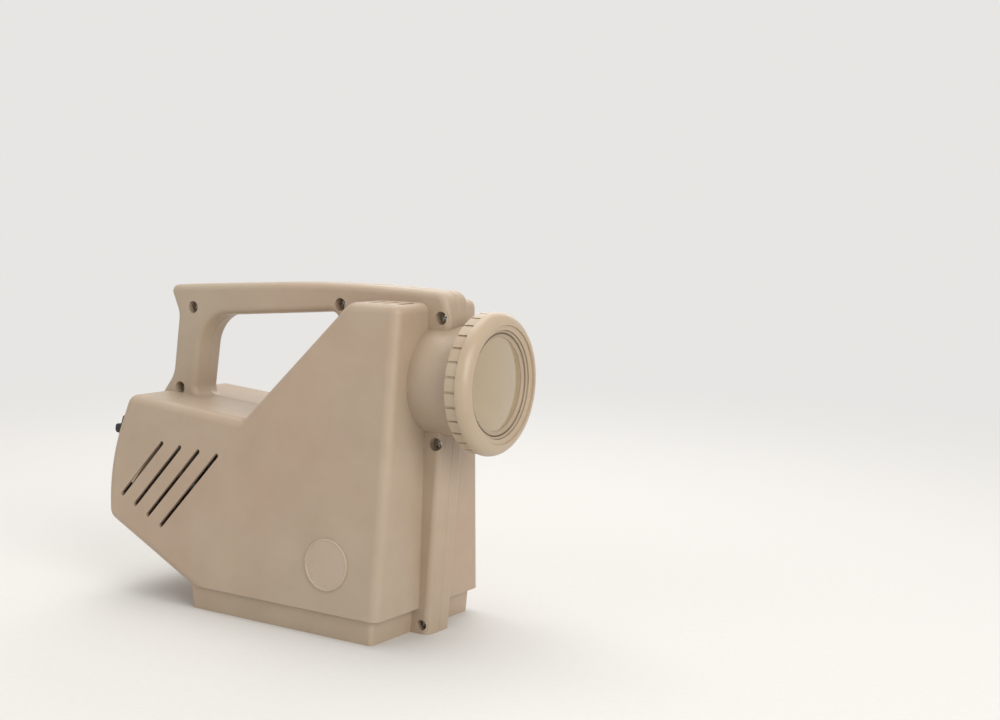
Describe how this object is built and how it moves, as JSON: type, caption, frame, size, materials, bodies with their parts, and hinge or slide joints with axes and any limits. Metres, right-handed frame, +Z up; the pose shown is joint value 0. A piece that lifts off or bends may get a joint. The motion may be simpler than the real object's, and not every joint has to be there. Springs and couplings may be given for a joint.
{
  "type": "opaque projector",
  "caption": "Opaque projector that stands on the picture: moulded half-shell case with loop handle, vented lamp house, slanted mirror and a front lens focused by turning a ring.",
  "frame": {"origin": "middle of the picture opening, on the plane that the base rim stands on", "axes": "+X the way the lens looks, +Y to the projector's own left, +Z up; Y = 0 is the joint between the two half shells"},
  "size_m": [0.3143, 0.1311, 0.2398],
  "materials": {
    "shell_plastic": "fine matte texture",
    "ring_plastic": "satin",
    "badge_plastic": "smooth, bare",
    "dark_plastic": "smooth",
    "bush_rubber": "matte",
    "screw_steel": "zinc plated",
    "lens_glass": "polished",
    "mirror_glass": "front-silvered",
    "sheet_steel": "plain sheet",
    "reflector_metal": "polished",
    "socket_ceramic": "glazed, stands in for porcelain",
    "cap_brass": "plain",
    "bulb_glass": "frosted"
  },
  "bodies": {
    "casing": {"right_shell": "shell_plastic", "left_shell": "shell_plastic", "case_screws": "screw_steel", "badge_disc": "badge_plastic", "mirror": "mirror_glass", "light_baffle": "sheet_steel", "lamp_plate": "sheet_steel", "lamp_socket": "socket_ceramic", "bulb_cap": "cap_brass", "bulb_glass": "bulb_glass", "reflector": "reflector_metal", "switch_housing": "dark_plastic", "lead_bush": "bush_rubber"},
    "lens_carriage": {"lens_barrel": "ring_plastic", "front_lens": "lens_glass", "rear_lens": "lens_glass", "lens_retainer": "ring_plastic", "rear_retainer": "ring_plastic"},
    "focus_ring": {"focus_ring": "ring_plastic", "focus_collar": "ring_plastic"},
    "switch_rocker": {"switch_rocker": "dark_plastic"}
  },
  "joints": [
    {"name": "focus_slide", "type": "slide", "parent": "casing", "child": "lens_carriage", "axis": [1, 0, 0], "range_m": [0, 0.01]},
    {"name": "focus_turn", "type": "hinge", "parent": "lens_carriage", "child": "focus_ring", "pos_m": [0.135, 0, 0.177], "axis": [1, 0, 0], "range_deg": [0, 270]},
    {"name": "switch_rock", "type": "hinge", "parent": "casing", "child": "switch_rocker", "pos_m": [-0.16088, -0.04384, 0.12221], "axis": [0, 1, 0], "range_deg": [0, 22]}
  ],
  "couplings": [
    {"joint": "focus_slide", "follows": "focus_turn", "m_per_rad": 0.002122}
  ]
}
